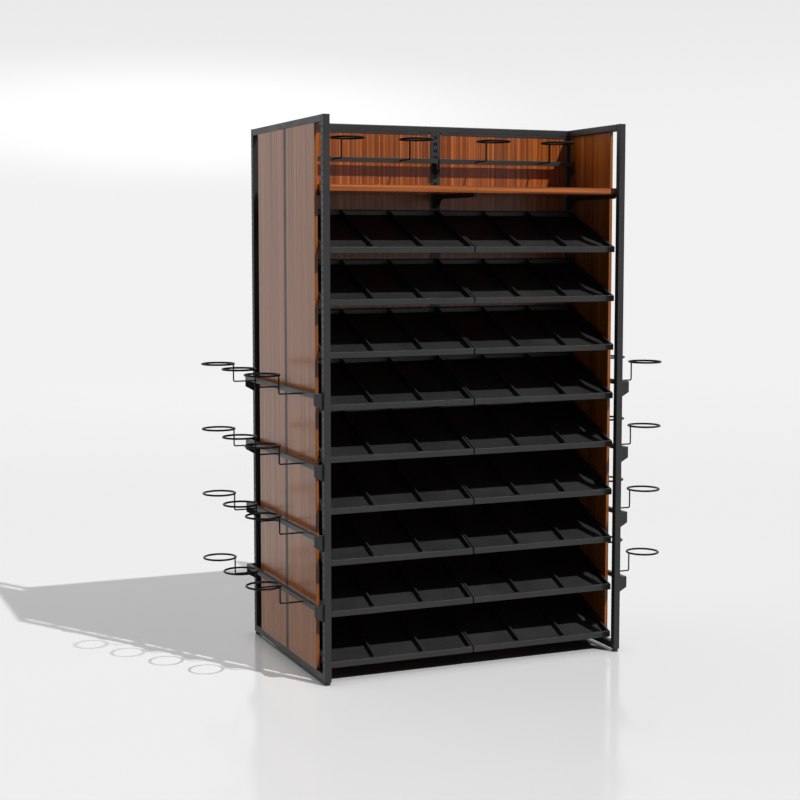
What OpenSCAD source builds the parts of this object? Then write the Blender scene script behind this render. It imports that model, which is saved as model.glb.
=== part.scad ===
// Double-sided shop display stand in black steel and wood.
// Two side frames of square tube are tied by a boarded spine. Sloping divided trays and a wooden shelf
// hang on both faces of the spine, and wire ring racks hook into the slotted posts.
// Millimetres. X runs along the spine, Y from front (-) to rear (+) and Z up from the floor.
// The origin is on the floor in the middle of the plan.

/* [Overall] */
// Height from the floor to the top of the frame
height = 2000; // [1900:10:2300]
// Width over the two side frames
width = 1200; // [1100:10:1500]
// Depth over the front and rear posts
depth = 814; // [740:2:940]

/* [Frame tubes] */
// Outer size of the square tube
tube = 25; // [22:1:30]
// Wall of the tube
tube_wall = 1.5; // [1.5:0.5:3]
// Outer radius of the tube's corners
tube_r = 2.5; // [2:0.1:4]
// Width of the post in the middle of each side frame
mid_post_w = 35; // [32:1:45]
// Width of the post in the middle of the spine
centre_post_w = 42; // [34:1:60]
// Height of the tube ends above the floor
foot_gap = 11; // [11:1:20]

/* [Slots] */
// Spacing of the hook slots up a post
slot_pitch = 25; // [25:1:32]
// Height of one slot
slot_h = 12.5; // [11:0.5:14]
// Width of one slot
slot_w = 5.5; // [4:0.5:6]
// Height of the slot grid above the floor
slot_phase = 7.5; // [0:0.5:24]

/* [Boards] */
// Thickness of the side boards
side_board_t = 12; // [10:1:18]
// Open gap between a side board and the corner post
side_gap = 66; // [30:1:100]
// Thickness of the spine boards
spine_board_t = 22; // [12:1:22]
// Height of the channel that holds the top edge of a spine board
channel_h = 7.5; // [6.5:0.5:20]
// Distance that the channel stops short of the centre post
channel_short = 7; // [2:1:40]

/* [Shelf] */
// Distance from the top of the frame down to the shelf's upper face
shelf_drop = 237; // [225:1:262]
// Thickness of the shelf boards
shelf_t = 23; // [16:1:30]
// Distance of the shelf's front edge behind the front of the frame
shelf_setback = 31; // [20:1:80]
// Height of a shelf bracket's arm
arm_h = 16; // [12:1:24]
// Radius of the curve under the arm
arm_fillet = 38; // [10:1:60]

/* [Trays] */
// Distance from the top of the frame down to the lip of the highest tray
tray_drop = 455.5; // [455:0.5:520]
// Height of the lowest lip above the floor
tray_low = 70; // [70:1:120]
// Rise of the tray for each unit of depth
tray_slope = 0.4; // [0.3:0.02:0.42]
// Height of the tray's walls
tray_h = 20.5; // [16:0.5:24]
// Distance of the lip behind the front of the frame
tray_setback = 43; // [36:1:80]
// Gap between the tray's back wall and the post
tray_back_gap = 6.5; // [4:0.5:12]
// Thickness of the folded sheet
sheet = 1.5; // [1:0.25:2]
// Width of the folded rim
rim_w = 7; // [5:0.5:10]
// Thickness over a folded divider
divider_t = 6; // [5:0.5:8]
// Compartments in one tray
compartments = 3; // [2:1:4]
// Gap between the two trays of a row
seam_gap = 5; // [4:0.5:8]
// Gap between a tray and the side board
end_gap = 4.5; // [3.5:0.5:8]

/* [Ring racks] */
// Radius of a ring to the middle of its wire
ring_r = 61; // [45:1:65]
// Wire of the ring
ring_wire = 7.5; // [5.5:0.5:8]
// Wire of the bent stem
stem_wire = 5.5; // [4:0.5:5.5]
// Distance of the ring's centre from the post
ring_out = 181; // [150:1:200]
// Height of the ring above its arm
ring_rise = 69.5; // [40:0.5:100]
// Radius of the bend between arm and stem
stem_bend = 6; // [5:1:30]
// Height of the rack's bar
bar_h = 17; // [14:1:24]
// Depth of the rack's bar
bar_d = 16; // [12:1:24]
// Distance of the bar's outer face from the post
bar_out = 34; // [28:1:50]
// Height of the bracket at the post
bracket_h = 60; // [58:1:90]
// Height of the bracket at its outer edge
bracket_nose = 41; // [30:1:57]
// Height of the lowest side rings above the floor
ring_low = 348; // [320:1:400]
// Slots from one side rack to the next
rack_step = 10; // [6:1:12]
// Distance from the top of the frame down to the top rings
top_ring_drop = 63; // [55:1:80]

/* [Feet] */
// Diameter of a foot's pad
foot_d = 23; // [18:1:25]
// Height of the pad
foot_pad_h = 8; // [4:0.5:9]
// Diameter of the threaded stem
foot_stem_d = 8; // [6:1:10]
// Height of the plug in the post that takes the stem
plug_h = 14; // [10:1:24]
// Travel of the foot
foot_travel = 12; // [5:1:20]

/* [Fits] */
// Gap between a hook and the faces that it passes
hook_play = 0.4; // [0.3:0.05:0.6]
// Gap between a hook and the slot edge that it rests on
hook_seat = 0.2; // [0.1:0.05:0.3]
// Gap around a loose board, divider or foot
board_play = 0.3; // [0.2:0.05:0.6]
// Gap around the stem in its plug
stem_play = 0.1; // [0.05:0.05:0.2]
// Play of a hook plate across its slot
plate_play = 2; // [1:0.25:2.5]

/* [Hidden] */
$fn = 48;
eps = 0.5;
steel = "#1d1d1f";
wood = "#8f4c27";
half_w = width/2;
half_d = depth/2;
post_y = half_d - tube/2;
post_x = half_w - tube/2;
rail_top_z = height - tube;
rail_low_z = foot_gap + tube;
spine_face = tube/2;
plate_t = slot_w - plate_play;
// Inside of the tubes, and the web between the two slotted halves of a double-sided post
tube_inner_r = max(0.3, tube_r - tube_wall);
post_web = 3;
// Hooks: the neck rests on the slot's lower edge and the lip hangs behind the wall
hook_drop = 0.48*slot_h;
hook_neck = 0.44*slot_h;
hook_lift = hook_drop;
hook_lip = 3;
hook_top_margin = 4;
slot_clear = 4;
// Hook columns follow the ends of the trays
tray_w = half_w - side_board_t - end_gap - seam_gap/2;
col_outer = half_w - side_board_t - end_gap - plate_t/2;
col_inner = seam_gap/2 + plate_t/2;
// Trays
tray_rows = 9;
tray_top_z = height - tray_drop;
tray_pitch = (tray_top_z - tray_low)/(tray_rows - 1);
tray_front = half_d - tray_setback - spine_face;
tray_back = tray_back_gap;
tray_rise = tray_slope*(tray_front - tray_back);
floor_t = sheet*sqrt(1 + tray_slope*tray_slope);
tray_hook_drop = 8;
hook_plate_tail = 12;
hook_plate_h = tray_hook_drop + slot_pitch + slot_h + hook_plate_tail;
hook_plate_reach = 30;
hook_plate_foot = 14;
// Shelf
shelf_z = height - shelf_drop - shelf_t;
shelf_front = half_d - shelf_setback - spine_face;
shelf_back = 2;
shelf_seam = 1;
arm_setback = 6;
arm_tip = shelf_front - arm_setback;
arm_chamfer = 5;
leg_w = 26;
leg_clear = 1.5;
leg_z = tray_top_z + tray_rise + hook_lift + leg_clear;
// Racks
ring_step = depth/3;
top_drop = ring_rise - bar_h/2;
stem_u = ring_out - ring_r;
bar_wall = 1.5;
rack_count = 4;
ring_sink = 0.5;
top_ring_z = height - top_ring_drop;
bay_mid = (col_outer + col_inner)/2;
// Spine boards and their channels
board_top_gap = 4.5;
channel_wall = 1.2;
// Feet
foot_neck_d = 14;
foot_chamfer = 1.5;
foot_engage = 10;

// Lip height of tray row i, counted from the top
function lip_z(i) = tray_top_z - i*tray_pitch;
// Highest slot of the grid that a bracket with its top at z can use
function grid_slot(z) = slot_phase + slot_pitch*floor((z - hook_top_margin - slot_phase)/slot_pitch);
// All slots of the grid that lie whole between two heights
function grid_run(low, high) = [
  for (n = [ceil((low + slot_h/2 - slot_phase)/slot_pitch)
            : floor((high - slot_h/2 - slot_phase)/slot_pitch)])
    slot_phase + slot_pitch*n
];
// Slots for the two hooks of a tray
function tray_slots(i) = [
  lip_z(i) + tray_rise - tray_hook_drop,
  lip_z(i) + tray_rise - tray_hook_drop - slot_pitch
];
// Height of the tray's rim above its lip at distance u from the post
function rim_at(u) = tray_slope*(tray_front - u);
// Slots of the spine posts: a run above the trays, and a pair for each tray row
spine_slots = concat(
  grid_run(tray_top_z + tray_rise + slot_clear, rail_top_z),
  [for (i = [0 : tray_rows - 1]) for (z = tray_slots(i)) z]
);

// Piece to draw, or all of them

// Copies to the other side of the stand
module on_right() { mirror([1, 0, 0]) children(); }
module on_rear() { mirror([0, 1, 0]) children(); }
// Faces that pieces hang on; u runs outward from the post
module on_front_face() { translate([0, -spine_face, 0]) rotate([0, 0, 180]) children(); }
module on_left_face() { translate([-half_w, 0, 0]) rotate([0, 0, 90]) children(); }
// Extrudes a (u, z) profile along the face, from x to x + t
module along(x, t) { translate([x, 0, 0]) rotate([90, 0, 90]) linear_extrude(t) children(); }

// Rectangle with rounded corners, about the origin
module rounded(w, d, r) {
  square([w - 2*r, d], center = true);
  square([w, d - 2*r], center = true);
  for (x = [-1, 1], y = [-1, 1])
    translate([x*(w/2 - r), y*(d/2 - r)]) circle(r = r);
}

// Section of a tube of outer size w by d
module tube_section(w, d) {
  difference() {
    rounded(w, d, tube_r);
    rounded(w - 2*tube_wall, d - 2*tube_wall, tube_inner_r);
  }
}

// Section of a double-sided post: slotted halves back to back, with a web between them
module double_section(w) {
  tube_section(w, tube);
  square([w - tube_wall, post_web], center = true);
}

// Cuts for slots in the wall at y = -d/2, in columns at each x
module slot_cuts(d, columns, heights) {
  for (x = columns)
    for (z = heights)
      translate([x - slot_w/2, -d/2 - eps, z - slot_h/2])
        cube([slot_w, tube_wall + 2*eps, slot_h]);
}

// Post at a corner, closed by a cap at the top
module corner_post() {
  color(steel) translate([-post_x, -post_y, 0]) difference() {
    union() {
      translate([0, 0, foot_gap]) linear_extrude(height - foot_gap) tube_section(tube, tube);
      translate([0, 0, height - tube_wall]) linear_extrude(tube_wall) rounded(tube, tube, tube_r);
    }
    rotate([0, 0, -90]) slot_cuts(tube, [0], grid_run(rail_low_z, rail_top_z));
  }
}

// Double-sided post between the rails, slotted on both faces in columns at each x
module double_post(w, columns) {
  color(steel) difference() {
    translate([0, 0, rail_low_z]) linear_extrude(rail_top_z - rail_low_z) double_section(w);
    slot_cuts(tube, columns, spine_slots);
    on_rear() slot_cuts(tube, columns, spine_slots);
  }
}

module mid_post() {
  x = -half_w + mid_post_w/2;
  translate([x, 0, 0]) double_post(mid_post_w, [-col_outer - x]);
}

module centre_post() { double_post(centre_post_w, [-col_inner, col_inner]); }

// Tube along Y between the corner posts, with its underside at z
module side_rail(z) {
  color(steel) translate([-post_x, 0, z + tube/2]) rotate([90, 0, 0])
    linear_extrude(depth - 2*tube, center = true) tube_section(tube, tube);
}

// Tube along X between the side frames, with its underside at z
module spine_rail(z) {
  color(steel) translate([0, 0, z + tube/2]) rotate([90, 0, 90])
    linear_extrude(width - 2*tube, center = true) tube_section(tube, tube);
}

// Board flush with the outer face of the side frame
module side_board() {
  run = half_d - tube - side_gap - spine_face;
  color(wood) translate([-half_w, -spine_face - run, rail_low_z])
    cube([side_board_t, run, rail_top_z - rail_low_z]);
}

// Board of one bay, standing on the bottom rail with its top edge in a channel
module spine_board() {
  run = half_w - mid_post_w - centre_post_w/2 - 2*board_play;
  color(wood) translate([-half_w + mid_post_w + board_play, -spine_board_t/2, rail_low_z])
    cube([run, spine_board_t, rail_top_z - board_top_gap - rail_low_z]);
}

// Inverted channel under the top rail
module panel_channel() {
  run = half_w - mid_post_w - centre_post_w/2 - channel_short;
  inner = spine_board_t + 2*board_play;
  outer = inner + 2*channel_wall;
  along(-half_w + mid_post_w, run) translate([0, rail_top_z - channel_h]) difference() {
    translate([-outer/2, 0]) square([outer, channel_h]);
    translate([-inner/2, -eps]) square([inner, channel_h - channel_wall + eps]);
  }
}

module panel_channels() {
  color(steel) {
    panel_channel();
    on_right() panel_channel();
  }
}

// Two shelf boards that lie on the brackets
module shelf_boards() {
  run = seam_gap/2 + tray_w - shelf_seam/2;
  color(wood) on_front_face() for (s = [0, 1]) mirror([s, 0, 0])
    translate([shelf_seam/2, shelf_back, shelf_z])
      cube([run, shelf_front - shelf_back, shelf_t]);
}

// Hook in profile for the slot centred at z
module hook(z) {
  low = z - slot_h/2 + hook_seat;
  back = tube_wall + hook_play;
  translate([-back - hook_lip, low])
    square([back + hook_lip + hook_play + eps, hook_neck]);
  translate([-back - hook_lip, low - hook_drop])
    square([hook_lip, hook_drop + hook_neck]);
}

// Shelf bracket in profile: a slim arm that curves down into a short leg
module shelf_bracket_profile() {
  low = shelf_z - arm_h;
  top_hook = grid_slot(shelf_z);
  polygon([
    [hook_play, shelf_z], [arm_tip, shelf_z], [arm_tip, low + arm_chamfer],
    [arm_tip - arm_chamfer, low], [hook_play, low]
  ]);
  difference() {
    translate([hook_play, leg_z]) square([leg_w + arm_fillet - hook_play, low - leg_z + eps]);
    translate([leg_w + arm_fillet, low - arm_fillet]) circle(r = arm_fillet, $fn = 96);
    translate([leg_w, leg_z - eps]) square([arm_fillet + eps, max(0.01, low - arm_fillet - leg_z + eps)]);
  }
  hook(top_hook);
  hook(top_hook - slot_pitch);
}

module shelf_bracket_row() {
  on_front_face()
    for (x = [-col_outer, -col_inner, col_inner, col_outer])
      along(x - plate_t/2, plate_t) shelf_bracket_profile();
}

module shelf_brackets() {
  color(steel) {
    shelf_bracket_row();
    on_rear() shelf_bracket_row();
  }
}

// Band of the tray's profile between two heights measured down from the rim
module tray_band(back, front, upper, lower) {
  polygon([
    [back, rim_at(back) - upper], [front, rim_at(front) - upper],
    [front, rim_at(front) - lower], [back, rim_at(back) - lower]
  ]);
}

// End plate of a tray: a gusset behind the end wall that carries the hooks
module tray_end_profile(i) {
  reach = tray_back + hook_plate_reach;
  foot_z = tray_rise - hook_plate_h;
  translate([0, lip_z(i)]) polygon([
    [hook_play, tray_rise], [tray_back, tray_rise], [reach, rim_at(reach)],
    [reach, rim_at(reach) - tray_h], [hook_play + hook_plate_foot, foot_z], [hook_play, foot_z]
  ]);
  for (z = tray_slots(i)) hook(z);
}

// Folded pan: floor, lip, back wall and ends with a rim folded inward, and a hook plate at each end
module pan(i) {
  x = seam_gap/2;
  difference() {
    translate([0, 0, lip_z(i)]) along(x, tray_w) tray_band(tray_back, tray_front, 0, tray_h);
    translate([0, 0, lip_z(i)]) along(x + plate_t, tray_w - 2*plate_t)
      tray_band(tray_back + sheet, tray_front - sheet, floor_t, tray_h - floor_t);
    translate([0, 0, lip_z(i)]) along(x + rim_w, tray_w - 2*rim_w)
      tray_band(tray_back + rim_w, tray_front - rim_w, -eps, 2*floor_t);
  }
  along(x, plate_t) tray_end_profile(i);
  along(x + tray_w - plate_t, plate_t) tray_end_profile(i);
}

// Divider folded from one sheet, standing on the tray's floor between the rims
module divider(i, x) {
  back = tray_back + rim_w + board_play;
  front = tray_front - rim_w - board_play;
  translate([0, 0, lip_z(i)]) difference() {
    along(x - divider_t/2, divider_t) tray_band(back, front, 0, tray_h - floor_t - board_play);
    along(x - divider_t/2 + sheet, divider_t - 2*sheet)
      tray_band(back - eps, front + eps, floor_t, tray_h);
  }
}

// One row: two trays side by side, each with its dividers
module tray_row(i) {
  color(steel) on_front_face() for (s = [0, 1]) mirror([s, 0, 0]) {
    pan(i);
    for (k = [1 : compartments - 1])
      divider(i, seam_gap/2 + plate_t/2 + k*(tray_w - plate_t)/compartments);
  }
}

// Ring on a bent wire that is welded to the bar at x
module ring_holder(x, ring_z) {
  arm_z = ring_z - ring_rise;
  translate([x, 0, 0]) {
    translate([0, bar_out, arm_z]) rotate([-90, 0, 0])
      cylinder(d = stem_wire, h = stem_u - stem_bend - bar_out);
    translate([0, stem_u - stem_bend, arm_z + stem_bend]) rotate([0, 90, 0])
      rotate_extrude(angle = 90) translate([stem_bend, 0]) circle(d = stem_wire);
    translate([0, stem_u, arm_z + stem_bend])
      cylinder(d = stem_wire, h = ring_rise - stem_bend - ring_sink);
    translate([0, ring_out, ring_z])
      rotate_extrude($fn = 96) translate([ring_r, 0]) circle(d = ring_wire);
  }
}

// Bracket of a rack in profile, cut back below its outer edge, with two hooks
module rack_bracket_profile(top) {
  top_hook = grid_slot(top);
  polygon([
    [hook_play, top], [bar_out, top], [bar_out, top - bracket_nose],
    [hook_play, top - bracket_h]
  ]);
  hook(top_hook);
  hook(top_hook - slot_pitch);
}

// Frame of a rack: a square bar between two hooked brackets
module rack_frame(span, top) {
  bar_run = span - plate_t;
  for (s = [-1, 1]) along(s*span/2 - plate_t/2, plate_t) rack_bracket_profile(top);
  along(-bar_run/2 - eps/2, bar_run + eps) translate([bar_out - bar_d, top - bar_h]) difference() {
    square([bar_d, bar_h]);
    translate([bar_wall, bar_wall]) square([bar_d - 2*bar_wall, bar_h - 2*bar_wall]);
  }
}

// Rack with a ring holder at each x in rings
module rack(span, rings, ring_z) {
  color(steel) {
    rack_frame(span, ring_z - top_drop);
    for (x = rings) ring_holder(x, ring_z);
  }
}

// Side rack i, counted from the top, between the front and rear posts
module side_rack(i) {
  on_left_face() rack(2*post_y, [-ring_step, 0, ring_step],
    ring_low + (rack_count - 1 - i)*rack_step*slot_pitch);
}

// Rack above the shelf in the left bay, between the mid post and the centre post
module top_rack() {
  on_front_face() translate([bay_mid, 0, 0])
    rack(col_outer - col_inner, [-ring_step/2, ring_step/2], top_ring_z);
}

// Plugs in the lower ends of the corner posts, bored for the feet
module foot_plug() {
  side = tube - 2*tube_wall - 2*stem_play;
  translate([-post_x, -post_y, foot_gap]) difference() {
    linear_extrude(plug_h) rounded(side, side, tube_inner_r);
    translate([0, 0, -eps]) cylinder(d = foot_stem_d + 2*stem_play, h = plug_h + 2*eps);
  }
}

module foot_plugs() {
  color(steel) {
    foot_plug();
    on_right() foot_plug();
    on_rear() foot_plug();
    on_right() on_rear() foot_plug();
  }
}

// Levelling foot: a chamfered pad, a neck and a stem that screws into the plug
module foot() {
  neck_top = foot_gap - board_play;
  stem_top = foot_gap + plug_h + foot_travel + foot_engage;
  color(steel) translate([-post_x, -post_y, 0]) rotate_extrude() polygon([
    [0, 0], [foot_d/2, 0], [foot_d/2, foot_pad_h - foot_chamfer],
    [foot_d/2 - foot_chamfer, foot_pad_h], [foot_neck_d/2, foot_pad_h], [foot_neck_d/2, neck_top],
    [foot_stem_d/2, neck_top], [foot_stem_d/2, stem_top], [0, stem_top]
  ]);
}

corner_post();  // left_front_post
mid_post();  // left_mid_post
on_rear() corner_post();  // left_rear_post
side_rail(rail_top_z);  // left_top_rail
side_rail(foot_gap);  // left_bottom_rail
side_board();  // left_front_board
on_rear() side_board();  // left_rear_board
on_right() corner_post();  // right_front_post
on_right() mid_post();  // right_mid_post
on_right() on_rear() corner_post();  // right_rear_post
on_right() side_rail(rail_top_z);  // right_top_rail
on_right() side_rail(foot_gap);  // right_bottom_rail
on_right() side_board();  // right_front_board
on_right() on_rear() side_board();  // right_rear_board
centre_post();
spine_rail(rail_top_z);  // spine_top_rail
spine_rail(foot_gap);  // spine_bottom_rail
spine_board();  // left_spine_board
on_right() spine_board();  // right_spine_board
panel_channels();
shelf_boards();  // shelf_boards_front
on_rear() shelf_boards();  // shelf_boards_rear
shelf_brackets();
foot_plugs();
foot();  // foot_front_left
on_right() foot();  // foot_front_right
on_rear() foot();  // foot_rear_left
on_right() on_rear() foot();  // foot_rear_right
side_rack(0);  // left_ring_rack_1
side_rack(1);  // left_ring_rack_2
side_rack(2);  // left_ring_rack_3
side_rack(3);  // left_ring_rack_4
on_right() side_rack(0);  // right_ring_rack_1
on_right() side_rack(1);  // right_ring_rack_2
on_right() side_rack(2);  // right_ring_rack_3
on_right() side_rack(3);  // right_ring_rack_4
top_rack();  // top_rack_front_left
on_right() top_rack();  // top_rack_front_right
on_rear() top_rack();  // top_rack_rear_left
on_right() on_rear() top_rack();  // top_rack_rear_right
tray_row(0);  // front_tray_row_1
tray_row(1);  // front_tray_row_2
tray_row(2);  // front_tray_row_3
tray_row(3);  // front_tray_row_4
tray_row(4);  // front_tray_row_5
tray_row(5);  // front_tray_row_6
tray_row(6);  // front_tray_row_7
tray_row(7);  // front_tray_row_8
tray_row(8);  // front_tray_row_9
on_rear() tray_row(0);  // rear_tray_row_1
on_rear() tray_row(1);  // rear_tray_row_2
on_rear() tray_row(2);  // rear_tray_row_3
on_rear() tray_row(3);  // rear_tray_row_4
on_rear() tray_row(4);  // rear_tray_row_5
on_rear() tray_row(5);  // rear_tray_row_6
on_rear() tray_row(6);  // rear_tray_row_7
on_rear() tray_row(7);  // rear_tray_row_8
on_rear() tray_row(8);  // rear_tray_row_9
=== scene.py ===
"""Finishes, small made pieces and studio for a double-sided display stand.

The stand is two side frames of black square tube tied by a boarded spine. Divided sloping trays, a wooden
shelf and wire ring racks hang on both of its faces. Lengths are metres in the stand's own frame: X runs
along the spine, Y from front to rear and Z up from the floor.
"""

import logging
import math
from dataclasses import dataclass
from enum import Enum

import bpy
import numpy as np
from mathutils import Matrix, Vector


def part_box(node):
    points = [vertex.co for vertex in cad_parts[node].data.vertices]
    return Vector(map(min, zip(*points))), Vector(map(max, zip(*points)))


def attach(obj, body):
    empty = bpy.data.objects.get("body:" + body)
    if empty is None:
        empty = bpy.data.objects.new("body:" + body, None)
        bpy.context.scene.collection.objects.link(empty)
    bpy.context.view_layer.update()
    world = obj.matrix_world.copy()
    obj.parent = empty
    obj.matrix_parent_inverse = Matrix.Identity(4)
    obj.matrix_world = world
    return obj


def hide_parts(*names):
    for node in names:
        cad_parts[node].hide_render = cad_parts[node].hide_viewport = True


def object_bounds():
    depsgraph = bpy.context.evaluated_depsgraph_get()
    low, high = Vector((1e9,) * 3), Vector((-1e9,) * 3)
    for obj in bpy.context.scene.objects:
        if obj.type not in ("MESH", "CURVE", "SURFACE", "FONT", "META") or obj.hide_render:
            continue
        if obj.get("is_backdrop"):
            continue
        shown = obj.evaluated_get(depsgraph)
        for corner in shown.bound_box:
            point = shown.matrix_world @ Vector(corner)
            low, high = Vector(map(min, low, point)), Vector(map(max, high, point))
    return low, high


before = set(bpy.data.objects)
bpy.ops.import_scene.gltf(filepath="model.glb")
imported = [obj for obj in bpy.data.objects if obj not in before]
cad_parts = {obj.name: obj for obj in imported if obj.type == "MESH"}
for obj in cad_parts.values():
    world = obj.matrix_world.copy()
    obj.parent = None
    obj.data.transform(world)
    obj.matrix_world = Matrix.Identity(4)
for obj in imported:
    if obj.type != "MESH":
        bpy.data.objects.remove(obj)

LOG = logging.getLogger("stand")
Colour = tuple[float, float, float]
Triple = tuple[float, float, float]
Pair = tuple[float, float]
Material = bpy.types.Material
Inputs = dict[str, object]
Socket = bpy.types.NodeSocket
Sockets = dict[str, Socket]


class Place(Enum):
    """A place on the stand, which the names of its nodes hold."""

    @property
    def label(self) -> str:
        """The place as node names write it."""
        return self.name.lower()


class Side(Place):
    """Side of the stand, as the sign of X."""

    LEFT = -1
    RIGHT = 1


class Face(Place):
    """Face of the stand, as the sign of Y."""

    FRONT = -1
    REAR = 1


class Grain(Enum):
    """Direction of the wood's grain, as the stretch of its pattern along X, Y and Z."""

    UPRIGHT = (1.0, 0.75, 0.005)
    LENGTHWAYS = (0.005, 1.0, 1.0)


@dataclass(frozen=True)
class Surface:
    """Points and faces of a surface that was worked out on a grid."""

    points: np.ndarray
    faces: list[tuple[int, ...]]


def grid_surface(points: np.ndarray, wrap_rows: bool) -> Surface:
    """Closes a grid of points into a skin.

    Neighbouring points of the grid are joined in fours. Columns always wrap round. Rows wrap round too,
    or else the first and last rows are closed by one face each.

    Args:
        points: array of shape (rows, columns, 3), with columns counter-clockwise seen from the last row.
        wrap_rows: True if the last row joins the first.
    Returns:
        The closed surface.
    """
    rows, columns = points.shape[:2]
    index = np.arange(rows * columns).reshape(rows, columns)
    lower = index if wrap_rows else index[:-1]
    upper = np.roll(index, -1, axis=0) if wrap_rows else index[1:]
    quads = np.stack(
        [lower, np.roll(lower, -1, axis=1), np.roll(upper, -1, axis=1), upper], axis=-1
    ).reshape(-1, 4)
    faces = [tuple(quad) for quad in quads.tolist()]
    if not wrap_rows:
        faces += [tuple(index[0, ::-1].tolist()), tuple(index[-1].tolist())]
    return Surface(points.reshape(-1, 3), faces)


def unit(vector: np.ndarray) -> np.ndarray:
    """Scales a vector to length one."""
    return vector / np.linalg.norm(vector)


def fillet_bead(
    start: np.ndarray, end: np.ndarray, wall_a: np.ndarray, wall_b: np.ndarray, leg: float
) -> Surface:
    """Makes a weld bead in a straight inside corner.

    At share s of the run and angle t of the section the surface lies at
    corner(s) + r(s) * (cos t * a + sin t * b), where a and b run up the two walls and r is the leg,
    rippled along the run and drawn in at both ends. The section runs a few degrees into both walls, and
    its last point lies sunk in the corner.

    Args:
        start: first point of the corner line.
        end: last point of the corner line.
        wall_a: unit vector up the first wall.
        wall_b: unit vector up the second wall.
        leg: size of the bead on each wall.
    Returns:
        The closed bead.
    """
    ripple_pitch, ripple_depth, sunk = 0.0022, 0.10, 0.35
    fewest_rows, rows_per_ripple, tip = 12, 5, 0.03
    into_wall, section_points = 8, 8
    length = float(np.linalg.norm(end - start))
    share = np.linspace(0.0, 1.0, max(fewest_rows, int(length / ripple_pitch * rows_per_ripple)))
    ends = np.sqrt(np.clip(np.minimum(share, 1 - share) * length / leg, tip, 1.0))
    ripple = 1 + ripple_depth * np.cos(2 * np.pi * share * length / ripple_pitch)
    radius = leg * ends * ripple
    turn = np.radians(np.linspace(-into_wall, 90 + into_wall, section_points))
    section = np.cos(turn)[:, None] * wall_a + np.sin(turn)[:, None] * wall_b
    section = np.concatenate([section, -sunk * (wall_a + wall_b)[None]])
    if np.dot(np.cross(wall_a, wall_b), end - start) < 0:
        section = section[::-1]
    line = start + share[:, None] * (end - start)
    return grid_surface(line[:, None] + radius[:, None, None] * section[None], False)


def collar_bead(foot: np.ndarray, axis: np.ndarray, wire: float, leg: float) -> Surface:
    """Makes a weld bead round a wire where it leaves a face.

    At turn p round the wire and angle t of the section the surface lies at
    foot + (wire radius + leg * cos t) * radial(p) + leg * sin t * axis, with the leg rippled along p. The
    last two points of the section lie sunk in the wire and in the face.

    Args:
        foot: middle of the wire on the face.
        axis: unit vector along the wire, away from the face.
        wire: diameter of the wire.
        leg: size of the bead along the face and along the wire.
    Returns:
        The closed bead.
    """
    ripples, ripple_depth, sunk = 9, 0.09, 0.3
    turn_points, into_wall, section_points = 40, 6, 7
    off_axis = [0.3, 0.5, 0.81]
    turn = np.linspace(0, 2 * np.pi, turn_points, endpoint=False)
    slope = np.radians(np.linspace(-into_wall, 90 + into_wall, section_points))
    aside = unit(np.cross(axis, off_axis))
    radial = np.cos(turn)[:, None] * aside + np.sin(turn)[:, None] * np.cross(axis, aside)
    out = np.concatenate([np.cos(slope), [-sunk, -sunk]])
    rise = np.concatenate([np.sin(slope), [1.0, -sunk]])
    size = leg * (1 + ripple_depth * np.cos(ripples * turn))[:, None]
    points = (wire / 2 + size * out)[..., None] * radial[:, None] + (size * rise)[..., None] * axis
    return grid_surface(foot + points[::-1], True)


def make_piece(name: str, surfaces: list[Surface], smooth: bool = True) -> bpy.types.Object:
    """Joins surfaces into one mesh object at the origin.

    Args:
        name: name of the piece.
        surfaces: closed surfaces in the stand's frame.
        smooth: True for smooth shading.
    Returns:
        The new object.
    """
    starts = np.cumsum([0] + [len(surface.points) for surface in surfaces[:-1]])
    points = np.concatenate([surface.points for surface in surfaces])
    faces = [
        tuple(int(start) + corner for corner in face)
        for start, surface in zip(starts, surfaces)
        for face in surface.faces
    ]
    mesh = bpy.data.meshes.new(name)
    mesh.from_pydata(points.tolist(), [], faces)
    mesh.validate()
    mesh.polygons.foreach_set("use_smooth", np.full(len(mesh.polygons), smooth))
    mesh.update()
    piece = bpy.data.objects.new(name, mesh)
    bpy.context.scene.collection.objects.link(piece)
    LOG.info("made %s: %d faces", name, len(mesh.polygons))
    return piece


def place_piece(piece: bpy.types.Object, body: str, material: Material) -> None:
    """Gives a new piece its body and its material.

    Args:
        piece: the new piece.
        body: the body that it rides on.
        material: its finish.
    """
    piece.data.materials.append(material)
    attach(piece, body)


def dress_node(node: str, material: Material) -> None:
    """Gives a node of the frame its material.

    Args:
        node: name of the node.
        material: its finish.
    """
    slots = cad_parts[node].data.materials
    slots.clear()
    slots.append(material)
    LOG.info("dressed %s in %s", node, material.name)


def corners(node: str) -> tuple[np.ndarray, np.ndarray]:
    """Lowest and highest corner of a node of the frame, as arrays."""
    low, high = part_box(node)
    return np.array(low), np.array(high)


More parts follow.
